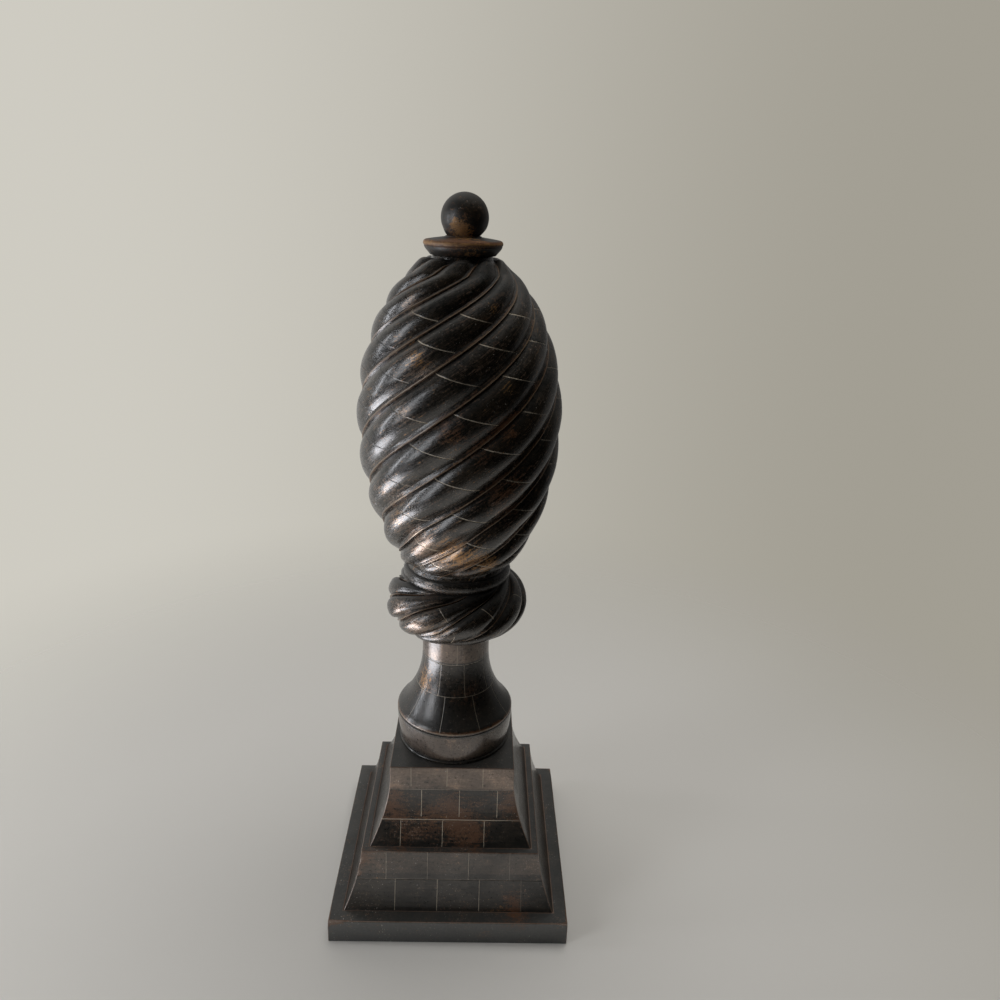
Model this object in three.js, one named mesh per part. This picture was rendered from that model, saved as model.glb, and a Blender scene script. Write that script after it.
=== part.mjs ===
import * as THREE from "three";

// Spiral finial: a carved wooden ornament that stands on a stepped square plinth.
// Lengths are in millimetres and angles in degrees. +Z is up, -Y is the front, and the
// origin is the centre of the plinth's underside.

// Plinth: a flat plate, then two steps whose sides sweep in as shallow coves.
const plateWidth = 205;
const plateHeight = 22.3;
const plateLedge = 12.4;
const lowerRise = 50.7;
const lowerFlare = 13.8;
const lowerCoveReach = 62.7;
const lowerLedge = 6.7;
const upperRise = 70;
const upperFlare = 16.2;
const upperCoveReach = 60.5;

// Bell: a foot bead, a plain rounded band, a rim, then a flare that narrows to the neck.
const blockMargin = 2.1;
const footBeadRise = 2.8;
const footBeadProud = 1.4;
const bandRise = 26.5;
const bandTuck = 3.2;
const rimGroove = 0.9;
const rimRise = 3.2;
const rimEase = 1.8;
const rimRound = 2.2;
const neckRadius = 29;
const flareRise = 54;
const flareSweep = 50.5;
const neckRise = 25.2;

// Twisted ring: rope-like strands laid round a thick torus.
const ringOuterRadius = 60.2;
const ringTubeAcross = 24.4;
const ringTubeUpright = 23.4;
const ringLip = 0.4;
const ringTwist = 0.45;
const ringSwirl = 15;
const ringSwirlSpan = 60;
const ringOffset = 5.3;
const ringDepth = 5;

// Plain bead between the ring and the egg.
const beadRadius = 45.2;
const beadRoot = 42;
const beadRise = 10.8;

// Egg: two half ellipses in profile, carved with ribs that climb to the right.
const eggRadius = 81;
const eggLowerReach = 145.3;
const eggUpperReach = 130.5;
const crownRadius = 22.5;
const ribCount = 9;
const ribTwist = 0.981;
const ribTwistPower = 1.49;
const ribStart = -24.4;
const lowGrooveDepth = 7.4;
const highGrooveDepth = 4.2;
const lowGrooveFade = 22;
const highGrooveFade = 16;
const ribFullness = 2.25;
const ribRollShare = 0.86;
const filletDrop = 0.72;

// Knob: a thin collar disc, a cone and a ball, turned in one piece.
const collarSeatRadius = 24.6;
const collarTaper = 4.1;
const collarRadius = 29.8;
const collarEdge = 7.3;
const collarEase = 1.9;
const coneRise = 2.2;
const ballNeckRadius = 12.2;
const ballRadius = 17.7;

// Each piece stands on a thin line of glue.
const glueLine = 0.1;

// Facets: how many steps each curve is cut into, and over how many rows the ring's
// grooves fade in. A rib's columns lie at these shares of its width.
const coveSteps = 7;
const turnedSides = 32;
const flareSteps = 9;
const bandSteps = 4;
const ballSteps = 9;
const edgeSteps = 4;
const ringRows = 15;
const ringFadeRows = 2;
const beadRows = 4;
const eggRows = 32;
const ribColumns = [0, 0.09, 0.24, 0.43, 0.62, 0.77, 0.86, 0.93];

const lowerFoot = plateWidth / 2 - plateLedge;
const lowerTop = lowerFoot - lowerFlare;
const upperFoot = lowerTop - lowerLedge;
const upperTop = upperFoot - upperFlare;
const lowerZ = plateHeight;
const upperZ = lowerZ + lowerRise;
const bellZ = upperZ + upperRise + glueLine;

const bandRadius = upperTop - blockMargin;
const bandZ = bellZ + footBeadRise;
const rimZ = bandZ + bandRise;
const flareZ = rimZ + rimRise + rimRound;
const neckZ = flareZ + flareRise;
const neckTopZ = neckZ + neckRise;

const ringCentreRadius = ringOuterRadius - ringTubeAcross;
const ringLowAngle = -Math.acos((neckRadius + ringLip - ringCentreRadius) / ringTubeAcross);
const ringHighAngle = Math.acos((beadRoot - ringCentreRadius) / ringTubeAcross);
const ringBaseZ = neckTopZ + glueLine;
const ringZ = ringBaseZ - ringTubeUpright * Math.sin(ringLowAngle);
const beadZ = ringZ + ringTubeUpright * Math.sin(ringHighAngle);
const eggLowAngle = -Math.acos(beadRoot / eggRadius);
const eggHighAngle = Math.acos(crownRadius / eggRadius);
const eggZ = beadZ + beadRise - eggLowerReach * Math.sin(eggLowAngle);
const crownZ = eggZ + eggUpperReach * Math.sin(eggHighAngle);
const knobZ = crownZ + glueLine;

const frontAngle = -90;
const lacquer = { color: 0x2b2421, roughness: 0.34, metalness: 0.12 };
const rubbedLacquer = { color: 0x3a2c22, roughness: 0.38, metalness: 0.2 };

const radians = THREE.MathUtils.degToRad;
const degrees = THREE.MathUtils.radToDeg;
const smooth = (share) => THREE.MathUtils.smoothstep(share, 0, 1);

// A turned shape: the profile runs from the axis at the bottom to the axis at the top.
function turned(profile, sides, startAngle = 0) {
  const points = profile.map(([radius, z]) => new THREE.Vector2(radius, z));
  return new THREE.LatheGeometry(points, sides, startAngle).rotateX(Math.PI / 2);
}

function piece(name, geometry, finish) {
  const mesh = new THREE.Mesh(geometry, new THREE.MeshStandardMaterial(finish));
  mesh.name = name;
  return mesh;
}

// The cove's distance outside its top edge, for a height above its foot. It is a shallow
// parabola that turns upright at its reach, which may lie above or below the step's top.
function coveOffset(height, rise, reach, flare) {
  const left = Math.max(reach - height, 0);
  const leftAtTop = Math.max(reach - rise, 0);
  return (flare * (left ** 2 - leftAtTop ** 2)) / (reach ** 2 - leftAtTop ** 2);
}

function coveProfile(top, baseZ, rise, reach, flare) {
  const curved = Math.min(reach, rise);
  const points = [];
  for (let step = 0; step <= coveSteps; step += 1) {
    const height = (curved * step) / coveSteps;
    points.push([top + coveOffset(height, rise, reach, flare), baseZ + height]);
  }
  if (rise > curved) points.push([top, baseZ + rise]);
  return points;
}

function makePlinth() {
  const halfWidths = [
    [0, 0],
    [plateWidth / 2, 0],
    [plateWidth / 2, plateHeight],
    ...coveProfile(lowerTop, lowerZ, lowerRise, lowerCoveReach, lowerFlare),
    ...coveProfile(upperTop, upperZ, upperRise, upperCoveReach, upperFlare),
    [0, upperZ + upperRise],
  ];
  const corners = halfWidths.map(([half, z]) => [half * Math.SQRT2, z]);
  return piece("plinth", turned(corners, 4, Math.PI / 4), lacquer);
}

function makeBellStem() {
  const profile = [
    [0, bellZ],
    [bandRadius - bandTuck + footBeadProud / 2, bellZ],
    [bandRadius - bandTuck + footBeadProud, bellZ + footBeadRise / 2],
  ];
  for (let step = 0; step <= bandSteps; step += 1) {
    const share = step / bandSteps;
    profile.push([bandRadius - bandTuck * (1 - share) ** 2, bandZ + bandRise * share]);
  }
  profile.push([bandRadius - rimGroove, rimZ + rimGroove / 2]);
  profile.push([bandRadius, rimZ + rimGroove], [bandRadius, rimZ + rimRise]);
  const flareOut = bandRadius - rimEase - neckRadius;
  const sweep = radians(flareSweep);
  for (let step = flareSteps; step >= 0; step -= 1) {
    const angle = (sweep * step) / flareSteps;
    const radius = neckRadius + (flareOut * (1 - Math.cos(angle))) / (1 - Math.cos(sweep));
    profile.push([radius, neckZ - (flareRise * Math.sin(angle)) / Math.sin(sweep)]);
  }
  profile.push([neckRadius, neckTopZ], [0, neckTopZ]);
  return piece("bell_stem", turned(profile, turnedSides), lacquer);
}

// The strands run steeply round the outside of the ring and swirl flatter above and below.
function ringTurn(angle) {
  const tilt = degrees(angle);
  return ringTwist * tilt + ringSwirl * (tilt / ringSwirlSpan) ** 3;
}

// Each row of the carving gives its radius and height, the outward direction across its
// profile, how deep the grooves are cut there, and how far the ribs have turned.
function ringCourse() {
  const rows = [];
  for (let step = 0; step <= ringRows; step += 1) {
    const angle = THREE.MathUtils.lerp(ringLowAngle, ringHighAngle, step / ringRows);
    const ends = smooth(step / ringFadeRows) * smooth((ringRows - step) / ringFadeRows);
    const across = ringTubeUpright * Math.cos(angle);
    const along = ringTubeAcross * Math.sin(angle);
    rows.push({
      radius: ringCentreRadius + ringTubeAcross * Math.cos(angle),
      z: ringZ + ringTubeUpright * Math.sin(angle),
      out: new THREE.Vector2(across, along).normalize().toArray(),
      depth: ringDepth * ends,
      turn: ringTurn(angle) - ringTurn(ringHighAngle) + ringOffset,
    });
  }
  return rows;
}

function beadCourse() {
  const rows = [];
  for (let step = 1; step < beadRows; step += 1) {
    const angle = Math.PI * (step / beadRows - 0.5);
    rows.push({
      radius: beadRoot + (beadRadius - beadRoot) * Math.cos(angle),
      z: beadZ + (beadRise * (1 + Math.sin(angle))) / 2,
      out: [1, 0],
      depth: 0,
      turn: ringOffset * (1 - step / beadRows),
    });
  }
  return rows;
}

// The ribs climb faster where the egg is narrow.
function eggTurnRate(angle) {
  const reach = angle < 0 ? eggLowerReach : eggUpperReach;
  return ribTwist * reach * Math.cos(angle) * Math.cos(angle) ** -ribTwistPower;
}

function eggCourse() {
  const rows = [];
  const stepAngle = (eggHighAngle - eggLowAngle) / eggRows;
  let turn = 0;
  for (let step = 0; step <= eggRows; step += 1) {
    const angle = eggLowAngle + stepAngle * step;
    const reach = angle < 0 ? eggLowerReach : eggUpperReach;
    const out = new THREE.Vector2(reach * Math.cos(angle), eggRadius * Math.sin(angle)).normalize();
    const z = eggZ + reach * Math.sin(angle);
    const height = (z - beadZ - beadRise) / (crownZ - beadZ - beadRise);
    const fade = smooth((z - beadZ - beadRise) / lowGrooveFade) * smooth((crownZ - z) / highGrooveFade);
    rows.push({
      radius: eggRadius * Math.cos(angle),
      z,
      out: out.toArray(),
      depth: fade * THREE.MathUtils.lerp(lowGrooveDepth, highGrooveDepth, height),
      turn,
    });
    turn += eggTurnRate(angle + stepAngle / 2) * stepAngle;
  }
  return rows;
}

// Groove depth across one rib, from 0 on its crest to 1 in the crease: a full round roll,
// then a narrow fillet along its lower side.
function ribSection(share) {
  if (share > ribRollShare) {
    const along = (share - ribRollShare) / (1 - ribRollShare);
    return THREE.MathUtils.lerp(filletDrop, 1, along);
  }
  const across = Math.abs(share / ribRollShare - 0.5) * 2;
  const edge = share > ribRollShare / 2 ? filletDrop : 1;
  return edge * across ** ribFullness;
}

// How far the ribs have turned from the foot of the egg to its widest point.
function turnAtWidest(rows) {
  const above = rows.findIndex((row) => row.z > eggZ);
  const low = rows[above - 1];
  const high = rows[above];
  return THREE.MathUtils.mapLinear(eggZ, low.z, high.z, low.turn, high.turn);
}

function makeSpiralBody() {
  const egg = eggCourse();
  const rows = [...ringCourse(), ...beadCourse(), ...egg];
  const facing = frontAngle + ribStart - turnAtWidest(egg);
  rows.unshift({ ...rows[0], radius: 0, depth: 0 });
  rows.push({ ...rows.at(-1), radius: 0, depth: 0 });
  const columns = ribCount * ribColumns.length;
  const geometry = turned(rows.map((row) => [row.radius, row.z]), columns);
  const positions = geometry.getAttribute("position");
  for (let vertex = 0; vertex < positions.count; vertex += 1) {
    const row = rows[vertex % rows.length];
    const column = Math.floor(vertex / rows.length) % columns;
    const share = ribColumns[column % ribColumns.length];
    const rib = Math.floor(column / ribColumns.length);
    const angle = radians(facing + row.turn + ((rib + share) * 360) / ribCount);
    const cut = row.depth * ribSection(share);
    const radius = row.radius - cut * row.out[0];
    const z = row.z - cut * row.out[1];
    positions.setXYZ(vertex, radius * Math.cos(angle), radius * Math.sin(angle), z);
  }
  return piece("spiral_body", geometry, rubbedLacquer);
}

function makeKnob() {
  const ballBaseZ = knobZ + collarTaper + collarEdge + coneRise;
  const ballZ = ballBaseZ + Math.sqrt(ballRadius ** 2 - ballNeckRadius ** 2);
  const profile = [
    [0, knobZ],
    [collarSeatRadius, knobZ],
  ];
  for (let step = 0; step <= edgeSteps; step += 1) {
    const angle = Math.PI * (step / edgeSteps - 0.5);
    const radius = collarRadius - collarEase * (1 - Math.cos(angle));
    profile.push([radius, knobZ + collarTaper + (collarEdge * (1 + Math.sin(angle))) / 2]);
  }
  const startAngle = Math.asin((ballBaseZ - ballZ) / ballRadius);
  for (let step = 0; step < ballSteps; step += 1) {
    const angle = THREE.MathUtils.lerp(startAngle, Math.PI / 2, step / ballSteps);
    profile.push([ballRadius * Math.cos(angle), ballZ + ballRadius * Math.sin(angle)]);
  }
  profile.push([0, ballZ + ballRadius]);
  return piece("knob", turned(profile, turnedSides), rubbedLacquer);
}

const group = new THREE.Group();
group.add(makePlinth(), makeBellStem(), makeSpiralBody(), makeKnob());

export default group;
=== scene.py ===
import math

import bmesh
import bpy
from mathutils import Matrix, Vector, noise


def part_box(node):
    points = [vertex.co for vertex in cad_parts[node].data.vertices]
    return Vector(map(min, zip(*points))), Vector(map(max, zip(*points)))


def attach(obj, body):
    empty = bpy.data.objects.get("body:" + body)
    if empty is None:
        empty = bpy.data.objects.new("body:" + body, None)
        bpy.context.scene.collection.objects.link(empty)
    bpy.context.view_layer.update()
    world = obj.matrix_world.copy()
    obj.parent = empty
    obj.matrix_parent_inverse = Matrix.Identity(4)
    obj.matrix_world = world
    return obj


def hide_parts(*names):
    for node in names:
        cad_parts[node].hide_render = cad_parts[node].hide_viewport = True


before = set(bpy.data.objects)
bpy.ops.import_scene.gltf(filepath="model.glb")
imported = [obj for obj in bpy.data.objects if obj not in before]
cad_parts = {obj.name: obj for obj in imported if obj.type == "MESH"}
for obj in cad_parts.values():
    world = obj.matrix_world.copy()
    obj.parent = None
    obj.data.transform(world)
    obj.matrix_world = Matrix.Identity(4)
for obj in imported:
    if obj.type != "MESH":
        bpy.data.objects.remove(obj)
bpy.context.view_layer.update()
mm = 0.001

# The plinth: a square plate and two steps with coved sides, in wood under dark lacquer. Its
# sides are scored like courses of small tiles, the lines are filled with a pale paste, and
# handling has rubbed the lacquer off the arrises and knocked some corners.
plate_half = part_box("plinth")[1][0]
plate_height = 22.3 * mm
plate_ledge = 12.4 * mm
lower_rise = 50.7 * mm
lower_flare = 13.8 * mm
lower_reach = 62.7 * mm
lower_ledge = 6.7 * mm
upper_rise = 70 * mm
upper_flare = 16.2 * mm
upper_reach = 60.5 * mm
foot_line = 0.9 * mm
foot_line_depth = 0.5 * mm
cove_steps = 18
arris_width = 1.1 * mm
arris_angle = math.radians(35)
joint_end_gap = 4 * mm
joint_half = 0.45 * mm
joint_depth = 0.3 * mm
tile_courses = (  # from, to, first joint, pitch of the joints, how plain the joints show
    (22.3, 47.7, -46.9, 36.4, 0.62),
    (47.7, 73.0, -55.0, 35.6, 0.5),
    (73.0, 93.8, -43.7, 36.3, 0.85),
    (93.8, 120.6, -26.1, 32.9, 1.0),
    (120.6, 143.0, -35.3, 31.0, 0.6),
)
nicks = (  # place, reach and depth of the knocks on its corners
    ((-77.2, -77.2, 64), 4.2, 1.1),
    ((-79.5, -79.5, 52), 3.0, 0.6),
    ((-102.5, -102.5, 20), 3.5, 0.8),
    ((102.5, -102.5, 22.3), 3.0, 0.7),
    ((60.4, -60.4, 139), 3.0, 0.7),
    ((102.5, 102.5, 20), 4.0, 1.0),
)


def spun(profile, steps, start=0.0):
    """Turns a profile of radii and heights about the upright axis. Each vertex keeps its row."""
    bm = bmesh.new()
    row = bm.verts.layers.float.new("row")
    bm.verts.layers.float.new("joint")
    bm.verts.layers.float.new("worn")
    bm.faces.layers.int.new("strip")
    bm.faces.layers.float.new("tile")
    verts = []
    for number, (radius, height) in enumerate(profile):
        vert = bm.verts.new((radius * math.cos(start), radius * math.sin(start), height))
        vert[row] = number
        verts.append(vert)
    for low, high in zip(verts, verts[1:]):
        bm.edges.new((low, high))
    bmesh.ops.spin(bm, geom=bm.verts[:] + bm.edges[:], cent=(0, 0, 0), axis=(0, 0, 1),
                   angle=math.tau, steps=steps, use_merge=True)
    bmesh.ops.remove_doubles(bm, verts=bm.verts, dist=1e-6)
    bmesh.ops.recalc_face_normals(bm, faces=bm.faces)
    return bm


def ease(bm, edges, width):
    """Rounds sharp edges over and marks the round as worn."""
    eased = bmesh.ops.bevel(bm, geom=edges, offset=width, offset_type="OFFSET", segments=3,
                            profile=0.5, affect="EDGES", material=-1, clamp_overlap=True)
    worn = bm.verts.layers.float["worn"]
    strip = set(eased["faces"])
    for vert in {vert for face in strip for vert in face.verts}:
        if all(face in strip for face in vert.link_faces):
            vert[worn] = 1


def score(bm, faces, point, across, plain=1.0):
    """Scores a line where a plane crosses these faces, and gives the faces back as cut."""
    across = across.normalized()
    for shift in (-1.8, -1, 0, 1, 1.8):
        edges = {edge for face in faces for edge in face.edges}
        verts = {vert for face in faces for vert in face.verts}
        cut = bmesh.ops.bisect_plane(bm, geom=[*faces, *edges, *verts], dist=1e-7,
                                     plane_co=point + across * shift * joint_half,
                                     plane_no=across)
        faces = [item for item in cut["geom"] if isinstance(item, bmesh.types.BMFace)]
    joint = bm.verts.layers.float["joint"]
    for vert in {vert for face in faces for vert in face.verts}:
        near = 1 - abs((vert.co - point).dot(across)) / joint_half
        vert[joint] = max(vert[joint], near * plain)
    return faces


def make_piece(name, bm, node, material, sharp=40):
    """Sinks the scored lines, shades the piece and puts it in its node's place."""
    bm.normal_update()
    joint = bm.verts.layers.float["joint"]
    for vert in bm.verts:
        vert.co -= vert.normal * joint_depth * vert[joint]
    for face in bm.faces:
        face.smooth = True
    for edge in bm.edges:
        edge.smooth = edge.calc_face_angle(0) < math.radians(sharp)
    mesh = bpy.data.meshes.new(name)
    bm.to_mesh(mesh)
    bm.free()
    mesh.materials.append(material)
    made = bpy.data.objects.new(name, mesh)
    bpy.context.scene.collection.objects.link(made)
    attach(made, "root")
    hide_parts(node)
    return made


def cove(top, foot_z, rise, reach, flare):
    """Half widths and heights up a shallow parabola that turns upright at its reach."""
    left_at_top = max(reach - rise, 0)
    points = []
    for step in range(cove_steps + 1):
        height = min(reach, rise) * step / cove_steps
        share = ((reach - height) ** 2 - left_at_top ** 2) / (reach ** 2 - left_at_top ** 2)
        points.append((top + flare * share, foot_z + height))
    if rise > reach:
        points.append((top, foot_z + rise))
    return points


lower_foot = plate_half - plate_ledge
lower_top = lower_foot - lower_flare
upper_foot = lower_top - lower_ledge
upper_top = upper_foot - upper_flare
lower_z = plate_height
upper_z = lower_z + lower_rise
plinth_top = upper_z + upper_rise
halves = [(0, 0), (plate_half, 0), (plate_half, plate_height)]
for foot, top, foot_z, rise, reach, flare in (
    (lower_foot, lower_top, lower_z, lower_rise, lower_reach, lower_flare),
    (upper_foot, upper_top, upper_z, upper_rise, upper_reach, upper_flare),
):
    halves += [(foot + foot_line, foot_z), (foot + foot_line / 2, foot_z - foot_line_depth)]
    halves += cove(top, foot_z, rise, reach, flare)
halves.append((0, plinth_top))
plinth = spun([(half * math.sqrt(2), z) for half, z in halves], 4, math.pi / 4)
sharp_edges = [
    edge for edge in plinth.edges
    if edge.calc_face_angle_signed(0) > arris_angle and max(vert.co.z for vert in edge.verts) > 0
]
ease(plinth, sharp_edges, arris_width)
tile = plinth.faces.layers.float["tile"]
for side in range(4):
    facing = Matrix.Rotation(side * math.pi / 2, 3, "Z")
    outward = facing @ Vector((0, -1, 0))
    along = facing @ Vector((1, 0, 0))
    plinth.normal_update()
    for low, high, first, pitch, plain in tile_courses:
        course = [
            face for face in plinth.faces
            if face.normal.dot(outward) > 0.8
            and low * mm < face.calc_center_median().z < high * mm
        ]
        across = first
        reach = max(vert.co.dot(along) for face in course for vert in face.verts)
        while across * mm < reach - joint_end_gap:
            course = score(plinth, course, along * across * mm, along, plain)
            across += pitch
        for face in course:
            number = (face.calc_center_median().dot(along) / mm - first) // pitch
            face[tile] = noise.cell(Vector((number * 1.3, low, side * 2.7))) - 0.5
for course, plain in ((0, 0.4), (2, 0.8), (3, 0.5)):
    point = Vector((0, 0, tile_courses[course][1] * mm))
    sides = [face for face in plinth.faces if abs(face.normal.z) < 0.7]
    score(plinth, sides, point, Vector((0, 0, 1)), plain)
worn = plinth.verts.layers.float["worn"]
for place, reach, depth in nicks:
    place = Vector(place) * mm
    for cuts in (2, 1):
        near = [edge for edge in plinth.edges
                if min((vert.co - place).length for vert in edge.verts) < reach * mm * 1.6]
        bmesh.ops.subdivide_edges(plinth, edges=near, cuts=cuts, use_grid_fill=True)
    inward = Vector((-place.x, -place.y, -20 * mm)).normalized()
    for vert in plinth.verts:
        away = (vert.co - place).length / (reach * mm)
        if away < 1:
            dent = (1 - away ** 2) * (0.6 + 0.8 * noise.noise(vert.co * 900))
            vert.co += inward * dent * depth * mm
            vert[worn] = max(vert[worn], min(1.0, dent * 2.5))


class Wire:
    """An output of a shader node. Sums written on wires add Math nodes to the same tree."""

    def __init__(self, tree, socket=None):
        self.tree = tree
        self.socket = socket

    def add(self, kind, settings=None, inputs=None, output=0):
        """Adds a node, sets it up, feeds its inputs with values or wires, and gives an output."""
        node = self.tree.nodes.new(kind)
        for name, value in (settings or {}).items():
            setattr(node, name, value)
        for key, value in (inputs or {}).items():
            if isinstance(value, Wire):
                self.tree.links.new(value.socket, node.inputs[key])
            else:
                node.inputs[key].default_value = value
        return Wire(self.tree, node.outputs[output] if node.outputs else None)

    def combine(self, operation, first, second):
        return self.add("ShaderNodeMath", {"operation": operation}, {0: first, 1: second})

    def __add__(self, other):
        return self.combine("ADD", self, other)

    def __mul__(self, other):
        return self.combine("MULTIPLY", self, other)

    def __sub__(self, other):
        return self.combine("SUBTRACT", self, other)

    def __rsub__(self, other):
        return self.combine("SUBTRACT", other, self)

    __radd__ = __add__
    __rmul__ = __mul__

    def rise(self, low, high, start=0.0, end=1.0):
        """The start value below low and the end value above high, with a smooth rise between."""
        inputs = {"Value": self, "From Min": low, "From Max": high, "To Min": start, "To Max": end}
        return self.add("ShaderNodeMapRange", {"interpolation_type": "SMOOTHSTEP"}, inputs)

    def axis(self, name):
        return self.add("ShaderNodeSeparateXYZ", None, {0: self}, name)

    def scaled(self, x, y, z):
        inputs = {0: self, 1: (x, y, z)}
        return self.add("ShaderNodeVectorMath", {"operation": "MULTIPLY"}, inputs)

    def moved(self, x, y, z):
        inputs = {0: self, 1: (x, y, z)}
        return self.add("ShaderNodeVectorMath", {"operation": "ADD"}, inputs)

    def noise(self, size, detail=3.0, roughness=0.5):
        """Noise about zero, whose cells are about this many millimetres across."""
        inputs = {"Vector": self, "Scale": 1 / size, "Detail": detail, "Roughness": roughness}
        return self.add("ShaderNodeTexNoise", None, inputs) - 0.5

    def near(self, place, reach, strength):
        """The strength at a place, falling to 0 at this distance from it."""
        inputs = {0: self, 1: place}
        apart = self.add("ShaderNodeVectorMath", {"operation": "DISTANCE"}, inputs, "Value")
        return apart.rise(0, reach, strength, 0)

    def tint(self, under, over):
        """Colours: what lies under, and what lies over it where this mask is 1."""
        return self.add("ShaderNodeMix", {"data_type": "RGBA"}, {0: self, 6: under, 7: over}, 2)


black_lacquer = (0.0055, 0.0050, 0.0036, 1)
brown_lacquer = (0.024, 0.017, 0.0105, 1)
red_brown = (0.13, 0.055, 0.022, 1)
bronze_rub_and_reflection = (0.31, 0.235, 0.185, 1)
gold_rub = (0.38, 0.21, 0.085, 1)
olive_wear = (0.235, 0.185, 0.125, 1)
pink_wear = (0.20, 0.15, 0.12, 1)
cream_paste = (0.56, 0.48, 0.37, 1)
# the paste in painted shade
paste_in_painted_shade = (0.010, 0.008, 0.006, 1)
dust = (0.50, 0.48, 0.45, 1)
# dust on upward faces, and also the painted reflection of the floor on the plate's edge
dust_film_and_reflection = (0.083, 0.085, 0.082, 1)


def lacquer(name, grain, golds=(), bronzes=(), browns=(), bronze_and_reflection_bands=(), streaks=0.5,
            edges=olive_wear, satin=0.32, coat=0.5, left_joint_shade_span=(-400, -300)):
    """Dark lacquer over wood, rubbed through to red-brown, bronze and gold, scored, and partly painted
    with reflection and shade.
    """
    material = bpy.data.materials.new(name)
    material.use_nodes = True
    tree = material.node_tree
    tree.nodes.clear()
    start = Wire(tree)
    place = start.add("ShaderNodeTexCoord", output="Object").scaled(1000, 1000, 1000)
    upward = start.add("ShaderNodeTexCoord", output="Normal").axis("Z")
    joint, worn, tile = (
        start.add("ShaderNodeAttribute", {"attribute_name": layer}, output="Fac")
        for layer in ("joint", "worn", "tile")
    )
    if grain == "uv":
        flow = start.add("ShaderNodeUVMap", {"uv_map": "grain"}).scaled(0.75, 0.07, 1)
    else:
        flow = place.scaled(*grain)
    streak = flow.noise(1.0, 5, 0.65)
    mottle = place.noise(2.4, 3, 0.7)
    fine = place.noise(1.1, 3, 0.7)
    cloud = place.noise(24, 4, 0.6)
    drift = place.moved(170, 40, 90).noise(30, 5, 0.65)
    grit = mottle * 1.1 + streak * (2.6 * streaks) + fine * 1.6
    height = place.axis("Z")

    def rubbed(spots, plain, spread):
        """Where a rub shows: round its spots, and in broken flecks by itself."""
        field = grit + plain
        for spot_place, reach, strength in spots:
            field = field + place.near(spot_place, reach, strength)
        return field.rise(0.5 - spread / 2, 0.5 + spread / 2)

    # The washes turn bands of upright faces toward bronze: part bronze rub, part a painted reflection
    # of the pale floor that these faces mirror.
    bronze_and_reflection_wash = cloud * 0
    for low, high, strength in bronze_and_reflection_bands:
        bronze_and_reflection_wash = bronze_and_reflection_wash + height.rise(low, low + 1.5) * height.rise(high - 1.5, high, strength, 0)
    bronze_and_reflection_wash = bronze_and_reflection_wash * (mottle + drift * 2.2 + streak * 0.9 + fine * 0.5 + tile * 0.15 + 0.75)
    golden = rubbed(golds, cloud * 1.2 - 0.13, 0.4)
    bronze = rubbed(bronzes, drift * 1.1 + 0.06, 0.4)
    brown = rubbed(browns, drift * 1.5 - cloud * 0.8 + tile * 0.15 + worn * 1.5 - 0.04, 0.5)
    edge = (worn + mottle * 1.2 + drift * 1.6).rise(0.45, 1.1)
    # Below 21.5 mm the plate's edge is painted paler and bluish, a painted reflection of the pale
    # floor in front; on upward faces the film is dust.
    painted_edge_reflection = height.rise(20.5, 21.5, 2.4, 0)
    dust_and_painted_reflection = (upward.rise(0.25, 1.0) + painted_edge_reflection) * (mottle + 0.85)
    speck = place.noise(1.2, 2, 0.5).rise(0.18, 0.24) * (drift + cloud).rise(-0.08, 0.12)
    colour = (cloud * 1.4 + streak + mottle).rise(-0.3, 0.4).tint(black_lacquer, brown_lacquer)
    colour = (dust_and_painted_reflection * 0.42).tint(colour, dust_film_and_reflection)
    colour = (brown * 0.7).tint(colour, red_brown)
    colour = (bronze * 0.6 + bronze_and_reflection_wash * 0.7).tint(colour, bronze_rub_and_reflection)
    colour = (golden * (fine + streak * 0.8 + 0.75)).tint(colour, gold_rub)
    colour = (edge * 0.75).tint(colour, edges)
    # The joints keep the cream paste only in the middle. On the carving they turn to painted shade
    # toward the lit left, where the lacquer round them takes the highlights.
    paste = joint.rise(0.15, 0.65) * (mottle + cloud).rise(-0.4, 0.1, 0.45, 1)
    # On every piece they fade toward painted shade on the shaded right.
    sideways = place.axis("X") + cloud * 30
    paste_lit_share = sideways.rise(*left_joint_shade_span) * sideways.rise(35, 65, 1, 0.3)
    colour = paste.tint(colour, paste_lit_share.tint(paste_in_painted_shade, cream_paste))
    colour = (speck * 0.7).tint(colour, dust)
    rough = mottle * 0.25 + streak * (0.35 * streaks) + brown * 0.08 + dust_and_painted_reflection * 0.1 + satin
    shader = start.add("ShaderNodeBsdfPrincipled", None, {
        "Base Color": colour,
        "Roughness": rough + golden * 0.06 + paste * 0.2,
        "Metallic": golden * 0.35 + bronze * 0.8 + bronze_and_reflection_wash * 0.5 + edge * 0.15,
        "IOR": 1.6,
        "Coat Weight": (mottle + cloud).rise(-0.25, 0.2, coat * 0.2, coat) - dust_and_painted_reflection * (coat * 0.4),
        "Coat Roughness": 0.15,
        "Normal": start.add("ShaderNodeBump", None, {
            "Strength": 0.5,
            "Distance": 0.0004,
            "Height": streak * (0.9 * streaks) + mottle * 0.6 + fine * 0.25 - golden * 0.08,
        }),
    })
    start.add("ShaderNodeOutputMaterial", None, {"Surface": shader})
    return material


make_piece("coved_plinth", plinth, "plinth",
           lacquer("plinth_finish", (0.08, 0.08, 0.5), edges=pink_wear,
                   # the bronze wash on these courses is partly a painted reflection of the floor
                   bronze_and_reflection_bands=((120.6, 143.1, 0.9), (52, 73.1, 0.3)),
                   golds=(((-22, -74, 97), 20, 0.5), ((12, -74, 97), 18, 0.5),
                          ((44, -94, 25), 20, 0.3)),
                   browns=(((-48, -64, 112), 30, 0.9), ((-14, -70, 99), 30, 0.85),
                           ((14, -72, 98), 32, 0.9), ((-48, -76, 84), 36, 0.65),
                           ((20, -76, 84), 32, 0.6), ((-10, -66, 110), 34, 0.5),
                           ((58, -92, 28), 28, 0.7), ((-80, -78, 66), 24, 0.7),
                           ((52, -64, 108), 32, 0.85))))

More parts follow.
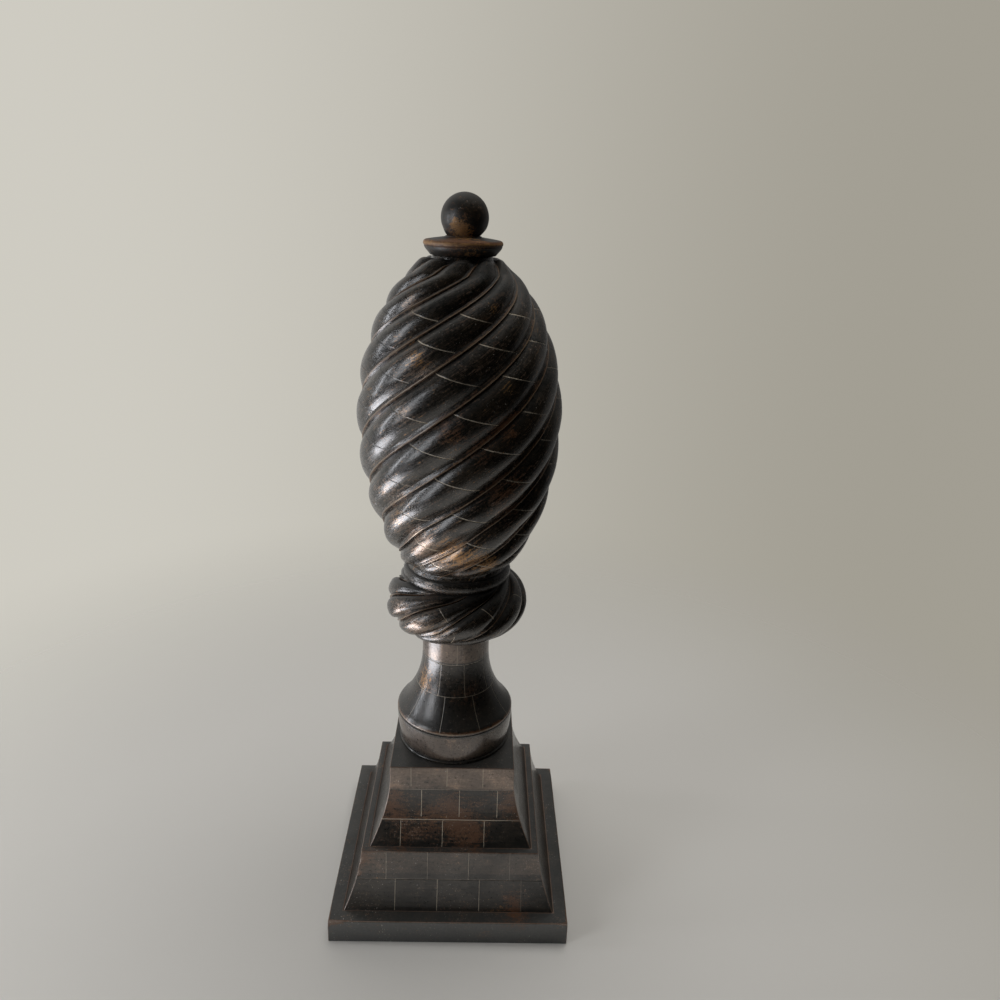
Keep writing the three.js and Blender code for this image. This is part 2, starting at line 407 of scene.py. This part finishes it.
# The bell stem: one turning with a foot bead, a plain glossy band, a rim, and a flare that
# narrows to the neck. The flare is scored in three courses of upright joints, and the
# lacquer is rubbed to gold on its left flank.
stem_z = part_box("bell_stem")[0][2]
stem_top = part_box("bell_stem")[1][2]
band_radius = upper_top - 2.1 * mm
foot_bead_rise = 2.8 * mm
foot_bead_proud = 1.4 * mm
band_rise = 26.5 * mm
band_tuck = 3.2 * mm
rim_groove = 0.9 * mm
rim_rise = 3.2 * mm
rim_swell = 0.3 * mm
rim_ease = 1.8 * mm
rim_round = 2.2 * mm
neck_radius = 29 * mm
flare_rise = 54 * mm
flare_sweep = math.radians(50.5)
stem_sides = 144
bead_steps = 8
band_steps = 20
rim_steps = 4
flare_steps = 46
neck_steps = 12
rim_wear_reach = 1.2 * mm
joint_reach = 4 * mm
bell_courses = (  # from, to, first joint in degrees from the front, joints round
    (176.5, 201.0, -13, 9),
    (201.0, 229.0, -24, 9),
    (229.0, 256.0, 4, 7),
)

band_z = stem_z + foot_bead_rise
rim_z = band_z + band_rise
flare_z = rim_z + rim_rise + rim_round
neck_z = flare_z + flare_rise
bell_profile = [(0, stem_z), (band_radius - band_tuck, stem_z)]
for step in range(1, bead_steps):
    angle = math.pi * (step / bead_steps - 0.5)
    bell_profile.append((band_radius - band_tuck + foot_bead_proud * math.cos(angle),
                         stem_z + foot_bead_rise * (1 + math.sin(angle)) / 2))
for step in range(band_steps + 1):
    share = step / band_steps
    bell_profile.append((band_radius - band_tuck * (1 - share) ** 2, band_z + band_rise * share))
bell_profile.append((band_radius - rim_groove, rim_z + rim_groove / 2))
for step in range(rim_steps + 1):
    share = step / rim_steps
    angle = math.pi * (share - 0.5) / 2
    bell_profile.append((band_radius - rim_swell * abs(math.sin(angle)),
                         rim_z + rim_groove + (rim_rise - rim_groove) * share))
flare_out = band_radius - rim_ease - neck_radius
for step in range(flare_steps, -1, -1):
    angle = flare_sweep * step / flare_steps
    bell_profile.append((neck_radius + flare_out * (1 - math.cos(angle)) / (1 - math.cos(flare_sweep)),
                         neck_z - flare_rise * math.sin(angle) / math.sin(flare_sweep)))
for step in range(1, neck_steps + 1):
    bell_profile.append((neck_radius, neck_z + (stem_top - neck_z) * step / neck_steps))
bell_profile.append((0, stem_top))
stem = spun(bell_profile, stem_sides)
worn = stem.verts.layers.float["worn"]
for vert in stem.verts:
    rim_near = abs(vert.co.z - rim_z - rim_rise * 0.8)
    vert[worn] = max(0.0, 1 - rim_near / rim_wear_reach)
stem.normal_update()
for low, high, first, count in bell_courses:
    for number in range(count):
        angle = math.radians(first + 360 / count * number)
        outward = Vector((math.sin(angle), -math.cos(angle), 0))
        along = Vector((math.cos(angle), math.sin(angle), 0))
        near = [
            face for face in stem.faces
            if low * mm < face.calc_center_median().z < high * mm
            and face.calc_center_median().normalized().dot(outward) > 0.1
            and abs(face.calc_center_median().dot(along)) < joint_reach
        ]
        score(stem, near, outward * mm, along, 0.5)
for height in (bell_courses[0][1], bell_courses[1][1]):
    point = Vector((0, 0, height * mm))
    near = [face for face in stem.faces
            if abs(face.calc_center_median().z - point.z) < joint_reach]
    score(stem, near, point, Vector((0, 0, 1)), 0.5)
make_piece("bell_turning", stem, "bell_stem",
           lacquer("stem_finish", (0.4, 0.4, 0.12), streaks=0.35, satin=0.3,
                   # the bronze wash on the neck and the band is partly a painted reflection of the
                   # floor
                   bronze_and_reflection_bands=((230, 258, 0.7), (146, 171.5, 0.4)),
                   bronzes=(((-26, -22, 214), 20, 0.4),),
                   browns=(((-28, -24, 212), 26, 0.6), ((10, -38, 205), 30, 0.35)),
                   golds=(((-30, -22, 210), 22, 0.8),)))

# The spiral body: one carving. Rope-like strands lie round a thick ring, a plain bead
# sits on it, and nine round ribs climb the egg to the right, with a thin ridge standing
# in the valley under each. Scored joints cross the ribs in level courses.
ring_z = 279.68 * mm
ring_centre = 35.8 * mm
ring_across = 24.4 * mm
ring_upright = 23.4 * mm
ring_low = math.radians(-105.2)
ring_high = math.radians(75.3)
ring_twist = 0.45
ring_swirl = 15
ring_swirl_span = 60
ring_offset = 5.3
ring_depth = 5 * mm
bead_root = 42 * mm
bead_radius = 45.2 * mm
bead_rise = 10.8 * mm
egg_radius = 81 * mm
egg_lower_reach = 145.3 * mm
egg_upper_reach = 130.5 * mm
crown_radius = 22.5 * mm
rib_count = 9
rib_twist = 0.981
rib_twist_power = 1.49
rib_start = -24.4
low_depth = 7.4 * mm
high_depth = 4.2 * mm
foot_depth = 3.2 * mm
crown_depth = 2.4 * mm
foot_lead = 7
crown_lag = 1.5
tip_lift = 2.8 * mm
rib_fullness = 2.25
ring_fullness = 3.2
rib_roll = 0.84
valley_cut = 0.84
ridge_shares = (0.9445, 0.958)
ridge_cut = 0.6
rib_columns = 26
ring_rows = 56
bead_rows = 12
egg_rows = 205
end_reach = 12 * mm
crown_reach = 5 * mm
end_fillet = 2 * mm
end_power = 2.4
joint_heights = (329, 351, 378, 406, 431, 456, 482.5, 504.5, 524.5)
joint_slope = 0.25
bead_lean = 6

bead_z = ring_z + ring_upright * math.sin(ring_high)
foot_z = bead_z + bead_rise
egg_low = -math.acos(bead_root / egg_radius)
egg_high = math.acos(crown_radius / egg_radius)
egg_z = foot_z - egg_lower_reach * math.sin(egg_low)
crown_z = egg_z + egg_upper_reach * math.sin(egg_high)


def smooth(share):
    share = min(max(share, 0.0), 1.0)
    return share * share * (3 - 2 * share)


def ring_turn(angle):
    tilt = math.degrees(angle)
    return ring_twist * tilt + ring_swirl * (tilt / ring_swirl_span) ** 3


def course_rows():
    """Each row's radius, height, outward direction, depth, turn, nearness to an end, fullness."""
    rows = []
    for step in range(ring_rows + 1):
        angle = ring_low + (ring_high - ring_low) * step / ring_rows
        out = Vector((ring_upright * math.cos(angle), ring_across * math.sin(angle))).normalized()
        ends = smooth(step / 5) * smooth((ring_rows - step) / 5)
        rows.append([ring_centre + ring_across * math.cos(angle),
                     ring_z + ring_upright * math.sin(angle), out, ring_depth * ends,
                     ring_turn(angle) - ring_turn(ring_high) + ring_offset, 0.0, ring_fullness])
    for step in range(1, bead_rows):
        angle = math.pi * (step / bead_rows - 0.5)
        rows.append([bead_root + (bead_radius - bead_root) * math.cos(angle),
                     bead_z + bead_rise * (1 + math.sin(angle)) / 2, Vector((1, 0)), 0.0,
                     ring_offset + (foot_lead - ring_offset) * step / bead_rows, 0.0, 2.0])
    turn = 0.0
    step_angle = (egg_high - egg_low) / egg_rows
    for step in range(egg_rows + 1):
        angle = egg_low + step_angle * step
        reach = egg_lower_reach if angle < 0 else egg_upper_reach
        out = Vector((reach * math.cos(angle), egg_radius * math.sin(angle))).normalized()
        height = egg_z + reach * math.sin(angle)
        share = (height - foot_z) / (crown_z - foot_z)
        depth = low_depth + (high_depth - low_depth) * share
        depth = foot_depth + (depth - foot_depth) * smooth((height - foot_z) / (30 * mm))
        depth = crown_depth + (depth - crown_depth) * smooth((crown_z - height) / (22 * mm))
        depth *= smooth((height - foot_z) / end_fillet) * smooth((crown_z - height) / mm)
        end = max(0.0, 1 - (height - foot_z - end_fillet) / end_reach,
                  1 - (crown_z - height - mm) / crown_reach)
        lead = foot_lead * smooth((368 * mm - height) / (30 * mm))
        lead -= crown_lag * max(0.0, height / mm - 552)
        rows.append([egg_radius * math.cos(angle), height, out, depth, turn + lead, end,
                     rib_fullness])
        middle = angle + step_angle / 2
        reach = egg_lower_reach if middle < 0 else egg_upper_reach
        turn += rib_twist * reach / mm * math.cos(middle) ** (1 - rib_twist_power) * step_angle
    return rows


def rib_section(share, end, fullness):
    """How deep the carving lies across a rib, and how worn it is, up to 1 on the ridge."""
    across = abs(share / rib_roll - 0.5) * 2
    away = (across ** end_power + end ** end_power) ** (1 / end_power)
    if share < rib_roll:
        edge = 1 + (valley_cut - 1) * smooth((share / rib_roll - 0.25) / 0.5)
        if away <= 1:
            return edge * away ** fullness, 0.0
        return edge + (1 - edge) * min((away - 1) / 0.25, 1), 0.0
    low, high = ridge_shares
    climb = min((share - rib_roll) / (low - rib_roll), 1)
    fall = max((share - high) / (1 - high), 0)
    cut = valley_cut + (ridge_cut - valley_cut) * climb ** 1.3 + (1 - ridge_cut) * fall ** 0.8
    wear = 1.0 if low - 0.001 < share < high + 0.001 else 0.3 * climb
    return cut + (1 - cut) * smooth(end * 1.5), wear * (1 - fall)


shares = []
roll_columns = rib_columns - 7
for step in range(roll_columns):
    even = step / roll_columns
    shares.append(rib_roll * (0.55 * even + 0.45 * (1 - math.cos(math.pi * even)) / 2))
shares += [rib_roll, 0.87, 0.90, 0.925, *ridge_shares, 0.98]
rows = course_rows()
rows = [[0, rows[0][1], Vector((1, 0)), 0.0, rows[0][4], 0.0, 2.0], *rows,
        [0, rows[-1][1], Vector((1, 0)), 0.0, rows[-1][4], 0.0, 2.0]]
path = lean = 0.0
paths = [(0.0, 0.0)]
for low, high in zip(rows, rows[1:]):
    swing = math.radians(high[4] - low[4]) * (low[0] + high[0]) / 2
    stretch = math.hypot(high[0] - low[0], high[1] - low[1], swing)
    path += stretch
    if low[3] == 0 and low[1] > ring_z:
        lean += bead_lean * stretch
    paths.append((path, lean))
widest = min(range(len(rows)), key=lambda number: abs(rows[number][1] - egg_z))
facing = rib_start - rows[widest][4] - 90
columns = rib_count * rib_columns
body = spun([(row[0], row[1]) for row in rows], columns)
row_layer = body.verts.layers.float["row"]
worn = body.verts.layers.float["worn"]
strip = body.faces.layers.int["strip"]
uv = body.loops.layers.uv.new("grain")
column_of = {}
for vert in body.verts:
    turned = math.atan2(vert.co.y, vert.co.x) % math.tau
    column_of[vert] = round(turned / math.tau * columns) % columns
for face in body.faces:
    found = [column_of[loop.vert] for loop in face.loops if loop.vert.co.xy.length > mm]
    wraps = max(found) - min(found) > 1
    first = columns - 1 if wraps else min(found)
    face[strip] = first
    for loop in face.loops:
        column = column_of[loop.vert]
        if loop.vert.co.xy.length < mm:
            column = first
        elif wraps and column == 0:
            column = columns
        rib, place = divmod(column, rib_columns)
        across = (rib + (shares[place] if place < rib_columns else 1)) * 36
        path, lean = paths[int(round(loop.vert[row_layer]))]
        loop[uv].uv = (across + lean / mm, path / mm)
for vert in body.verts:
    radius, height, out, depth, turn, end, fullness = rows[int(round(vert[row_layer]))]
    column = column_of[vert]
    rib, place = divmod(column, rib_columns)
    share = shares[place]
    cut, wear = rib_section(share, end, fullness)
    angle = math.radians(facing + turn + (rib + share) * 360 / rib_count)
    spot = Vector((math.cos(angle) * radius, math.sin(angle) * radius, height))
    uneven = noise.noise(spot * 45) * 0.35 * mm + noise.noise(spot * 140) * 0.10 * mm
    uneven *= smooth(depth / mm)
    radius -= (cut * depth + uneven) * out.x
    height -= (cut * depth + uneven) * out.y
    height += tip_lift * (1 - cut) * smooth((height - crown_z + 12 * mm) / (10 * mm))
    vert.co = Vector((math.cos(angle) * radius, math.sin(angle) * radius, height))
    vert[worn] = wear * smooth(depth / (1.5 * mm))
roll_faces = {rib: [] for rib in range(rib_count)}
for face in body.faces:
    rib, place = divmod(face[strip], rib_columns)
    if shares[place] < rib_roll - 0.005 and face.calc_center_median().z > foot_z:
        roll_faces[rib].append(face)
jitter = 0
for rib in range(rib_count):
    for level in joint_heights:
        jitter += 1
        level = level * mm + 1.4 * mm * noise.noise(Vector((jitter * 1.7, rib, 3)))
        row = min(range(len(rows)), key=lambda number: abs(rows[number][1] - level))
        angle = math.radians(facing + rows[row][4] + (rib + rib_roll / 2) * 360 / rib_count)
        round_way = Vector((-math.sin(angle), math.cos(angle), 0))
        slope = joint_slope + 0.05 * noise.noise(Vector((jitter * 2.3, 5, rib)))
        point = Vector((math.cos(angle), math.sin(angle), 0)) * rows[row][0]
        point.z = level
        near, rest = [], []
        for face in roll_faces[rib]:
            centre = face.calc_center_median()
            is_near = abs(centre.z - level) < 14 * mm and (centre - point).length < 40 * mm
            (near if is_near else rest).append(face)
        across = Vector((0, 0, 1)) + round_way * slope
        roll_faces[rib] = rest + score(body, near, point, across)
ring_joints = (  # from the turn and tilt of one end to those of the other, in degrees
    (6, 40, 33, 12),
    (12, -15, 20, -34),
)
for rib in range(rib_count):
    for number, (from_turn, from_tilt, to_turn, to_tilt) in enumerate(ring_joints):
        shift = 5 * noise.noise(Vector((rib * 1.9, number * 3.3, 7)))
        ends = []
        for turn, tilt in ((from_turn, from_tilt + shift), (to_turn, to_tilt + shift)):
            tilt = math.radians(tilt)
            radius = ring_centre + ring_across * math.cos(tilt)
            law = ring_turn(tilt) - ring_turn(ring_high) + ring_offset
            angle = math.radians(facing + law + turn + rib * 360 / rib_count)
            ends.append(Vector((radius * math.cos(angle), radius * math.sin(angle),
                                ring_z + ring_upright * math.sin(tilt))))
        middle = (ends[0] + ends[1]) / 2
        core = Vector((middle.x, middle.y, 0)).normalized() * ring_centre
        outward = middle - core - Vector((0, 0, ring_z))
        reach = (ends[1] - ends[0]).length / 2
        near = [
            face for face in body.faces
            if face[strip] // rib_columns == rib
            and shares[face[strip] % rib_columns] < rib_roll - 0.005
            and (face.calc_center_median() - middle).length < reach
        ]
        score(body, near, middle, (ends[1] - ends[0]).cross(outward), 0.8)
make_piece("spiral_carving", body, "spiral_body",
           lacquer("carving_finish", "uv", streaks=1.0, satin=0.27, left_joint_shade_span=(-50, -22),
                   golds=(((-2, -61, 344), 30, 0.6), ((21, -54, 336), 26, 0.6),
                          ((31, -45, 330), 16, 0.5), ((-44, -54, 377), 12, 0.4),
                          ((25, -50, 532), 10, 0.4), ((-29, -66, 495), 12, 0.4),
                          ((-7, -80, 447), 12, 0.3), ((37, -71, 480), 12, 0.3)),
                   bronzes=(((-34, -44, 531), 18, 0.5), ((-29, -66, 495), 22, 0.5),
                            ((-37, -71, 458), 18, 0.45), ((-47, -37, 285), 18, 0.7),
                            ((-31, -51, 277), 18, 0.6), ((-20, -45, 300), 22, 0.5),
                            ((-12, -60, 344), 38, 0.95), ((-45, -56, 390), 28, 0.35),
                            ((-40, -48, 366), 26, 0.4), ((-12, -54, 276), 24, 0.45)),
                   browns=(((15, -79, 437), 24, 0.5), ((37, -71, 447), 20, 0.5),
                           ((40, -62, 395), 36, 0.4), ((8, -58, 335), 34, 0.55),
                           ((-7, -80, 447), 20, 0.4), ((-30, -62, 352), 24, 0.4))), sharp=50)

# The knob: a thin collar with a thick rounded edge, and a ball on a short waisted neck,
# turned in one piece and glued on the crown. Its lower front is rubbed to gold.
knob_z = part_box("knob")[0][2]
knob_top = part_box("knob")[1][2]
collar_profile = (  # radius and height over the crown, up to the neck
    (24.6, 0), (25.2, 0.7), (26.3, 2.0), (27.7, 3.6), (28.8, 5.2), (29.2, 6.2), (29.0, 6.6),
    (29.4, 7.0), (29.8, 8.0), (29.75, 8.9), (29.3, 9.8), (28.6, 10.4), (27.6, 10.8), (26.8, 10.8),
    (26.0, 11.1), (23.5, 11.5), (20.0, 12.0), (16.5, 12.5), (14.6, 12.8), (13.9, 12.7),
    (13.7, 13.0), (13.3, 13.5), (12.6, 13.6),
)
ball_base = 13.6 * mm
ball_neck = 12.2 * mm
ball_radius = 17.7 * mm
ball_offset = 0.9 * mm
knob_sides = 120
ball_steps = 40
edge_height = 8.6 * mm
edge_reach = 2.8 * mm

ball_z = knob_top - ball_radius
knob_profile = [(0, knob_z)]
knob_profile += [(radius * mm, knob_z + height * mm) for radius, height in collar_profile]
start_angle = -math.acos(ball_neck / ball_radius)
for step in range(ball_steps):
    angle = start_angle + (math.pi / 2 - start_angle) * step / ball_steps
    knob_profile.append((ball_radius * math.cos(angle), ball_z + ball_radius * math.sin(angle)))
knob_profile.append((0, knob_top))
knob = spun(knob_profile, knob_sides)
worn = knob.verts.layers.float["worn"]
for vert in knob.verts:
    rise = vert.co.z - knob_z
    radius = vert.co.xy.length
    if radius > 25 * mm:
        vert[worn] = max(0.0, 1.1 - abs(rise - edge_height) / edge_reach)
    uneven = 0.25 * mm * noise.noise(vert.co * 70) + 0.1 * mm * noise.noise(vert.co * 220)
    vert.co -= Vector((vert.co.x, vert.co.y, 0)) * (abs(uneven) / max(radius, mm))
    vert.co.x += 0.5 * mm + ball_offset * smooth((rise - ball_base) / (6 * mm))
make_piece("ball_knob", knob, "knob",
           lacquer("knob_finish", (0.25, 0.25, 0.5), streaks=0.6, edges=gold_rub, satin=0.46,
                   coat=0.12,
                   golds=(((-4, -16, 583), 13, 0.8), ((3, -14, 577), 12, 0.6),
                          ((10, -27, 570), 24, 0.6)),
                   browns=(((-4, -17, 580), 20, 0.6), ((4, -28, 568), 26, 0.6),
                           ((0, 0, 590), 40, 0.25))))

# The studio: a plain pale floor that thins out into the backdrop. Daylight comes from a tall
# window and a strip beside it on the left, off the floor, and from a ceiling that the lacquer
# doesn't mirror. The camera stands level with the ball and looks down on the plinth.
floor_size = 4
floor_fade = (0.22, 0.95)
floor_bm = bmesh.new()
bmesh.ops.create_circle(floor_bm, cap_ends=True, segments=96, radius=floor_size)
floor_mesh = bpy.data.meshes.new("floor")
floor_bm.to_mesh(floor_mesh)
floor_bm.free()
floor = bpy.data.objects.new("floor", floor_mesh)
bpy.context.scene.collection.objects.link(floor)
floor_paint = bpy.data.materials.new("pale_floor")
floor_paint.use_nodes = True
floor_paint.node_tree.nodes.clear()
ground = Wire(floor_paint.node_tree)
spot = ground.add("ShaderNodeTexCoord", output="Object")
away = spot.add("ShaderNodeVectorMath", {"operation": "LENGTH"}, {0: spot}, "Value")
paint = ground.add("ShaderNodeBsdfPrincipled", None, {
    "Base Color": (0.74, 0.72, 0.68, 1),
    "Roughness": 0.6,
})
clear = ground.add("ShaderNodeBsdfTransparent")
ground.add("ShaderNodeOutputMaterial", None, {
    "Surface": ground.add("ShaderNodeMixShader", None, {
        0: away.rise(*floor_fade), 1: paint, 2: clear,
    }),
})
floor_mesh.materials.append(floor_paint)


def add_light(name, place, target, size, power, colour, mirrored=True):
    """A soft box at a place, turned to face another, that the camera doesn't see."""
    lamp = bpy.data.lights.new(name, "AREA")
    lamp.shape = "RECTANGLE"
    lamp.size, lamp.size_y = size
    lamp.energy = power
    lamp.color = colour
    holder = bpy.data.objects.new(name, lamp)
    place = Vector(place)
    facing_away = (Vector(target) - place).to_track_quat("-Z", "Y").to_matrix().to_4x4()
    holder.matrix_world = Matrix.Translation(place) @ facing_away
    holder.visible_camera = False
    holder.visible_glossy = mirrored
    bpy.context.scene.collection.objects.link(holder)


add_light("window", (-1.38, -0.8, 0.62), (0, 0, 0.45), (0.46, 1.1), 7, (0.94, 0.96, 1.0))
add_light("window_edge", (-1.3, -0.02, 0.4), (0, 0, 0.45), (0.14, 0.8), 3.4, (0.93, 0.95, 1.0))
add_light("bright_floor", (-0.52, -0.12, 0.004), (-0.52, -0.1201, 1), (0.36, 0.34), 3.6,
          (0.95, 0.95, 1.0))
add_light("lit_floor", (-0.09, -0.42, 0.004), (-0.09, -0.4201, 1), (0.58, 0.6), 0.4,
          (1.0, 0.95, 0.90))
add_light("ceiling", (0.25, 0.2, 1.7), (0.2, 0.15, 0), (1.0, 1.0), 13, (1.0, 0.99, 0.97),
          mirrored=False)

world = bpy.data.worlds.new("studio")
world.use_nodes = True
bpy.context.scene.world = world
world.node_tree.nodes.clear()
sky = Wire(world.node_tree)
toward = sky.add("ShaderNodeTexCoord", output="Generated")
from_left = toward.axis("X").rise(-0.9, 0.9)
glow = toward.axis("Y").rise(0.0, 0.5, 0.02, 0.5) * from_left.rise(0, 1, 1.15, 0.25)
room = sky.add("ShaderNodeBackground", None, {"Color": (1, 0.98, 0.94, 1), "Strength": glow})
# The backdrop the camera sees is painted darker toward the right: painted shade from the light on the
# left.
backdrop_shaded_right = toward.axis("X").rise(-0.5, 0.5).tint((0.62, 0.60, 0.54, 1), (0.36, 0.34, 0.29, 1))
pale = sky.add("ShaderNodeBackground", None, {"Color": backdrop_shaded_right})
seen = sky.add("ShaderNodeLightPath", output="Is Camera Ray")
both = sky.add("ShaderNodeMixShader", None, {0: seen, 1: room, 2: pale})
sky.add("ShaderNodeOutputWorld", None, {"Surface": both})

camera_place = (0.0166, -0.6334, 0.6004)
pitch = math.radians(20.02)
roll = math.radians(2.03)
yaw = math.radians(1.61)
camera_data = bpy.data.cameras.new("camera")
camera_data.sensor_width = 36
camera_data.lens = 29.39
camera = bpy.data.objects.new("camera", camera_data)
camera.matrix_world = (Matrix.Translation(camera_place)
                       @ Matrix.Rotation(-yaw, 4, "Z")
                       @ Matrix.Rotation(math.pi / 2 - pitch, 4, "X")
                       @ Matrix.Rotation(roll, 4, "Z"))
bpy.context.scene.collection.objects.link(camera)
bpy.context.scene.camera = camera
bpy.context.scene.view_settings.view_transform = "Standard"
